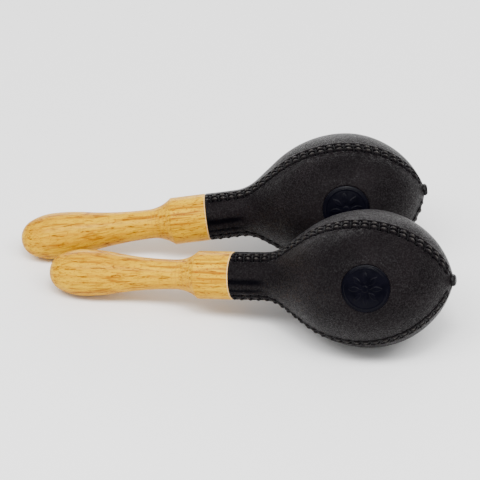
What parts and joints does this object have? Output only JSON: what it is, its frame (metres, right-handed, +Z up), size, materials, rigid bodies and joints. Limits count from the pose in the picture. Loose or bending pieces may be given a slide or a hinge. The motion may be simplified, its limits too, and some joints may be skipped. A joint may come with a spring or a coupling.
{
  "type": "pair of maracas",
  "caption": "Pair of maracas with stitched leather heads, turned wooden handles and loose shot inside, lying side by side on a table.",
  "frame": {"origin": "on the table, under the middle of the pair's box", "axes": "+X from the handles to the heads, along the rear maraca; -Y towards the side that the badges face; +Z up from the table"},
  "size_m": [0.292, 0.183, 0.093],
  "materials": {
    "wood": "clear gloss lacquer",
    "leather": "pebbled, dyed through, satin",
    "thread": "waxed, semi-gloss",
    "badge": "gloss",
    "plug": "semi-gloss",
    "shot": "tumbled"
  },
  "bodies": {
    "front_maraca": {"front_handle": "wood", "front_badge_panel": "leather", "front_back_panel": "leather", "front_belly_panel": "leather", "front_top_seam_thread": "thread", "front_lower_seam_thread": "thread", "front_far_seam_thread": "thread", "front_badge": "badge", "front_end_plug": "plug"},
    "front_pellets": {"front_shot": "shot"},
    "rear_maraca": {"rear_handle": "wood", "rear_badge_panel": "leather", "rear_back_panel": "leather", "rear_belly_panel": "leather", "rear_top_seam_thread": "thread", "rear_lower_seam_thread": "thread", "rear_far_seam_thread": "thread", "rear_badge": "badge", "rear_end_plug": "plug"},
    "rear_pellets": {"rear_shot": "shot"}
  },
  "joints": [
    {"name": "rear_maraca_lift", "type": "slide", "parent": "front_maraca", "child": "rear_maraca", "axis": [0, 0, 1], "range_m": [0, 0.15]},
    {"name": "front_shot_rattle", "type": "slide", "parent": "front_maraca", "child": "front_pellets", "axis": [0, 0, 1], "range_m": [0, 0.066]},
    {"name": "rear_shot_rattle", "type": "slide", "parent": "rear_maraca", "child": "rear_pellets", "axis": [0, 0, 1], "range_m": [0, 0.066]}
  ]
}
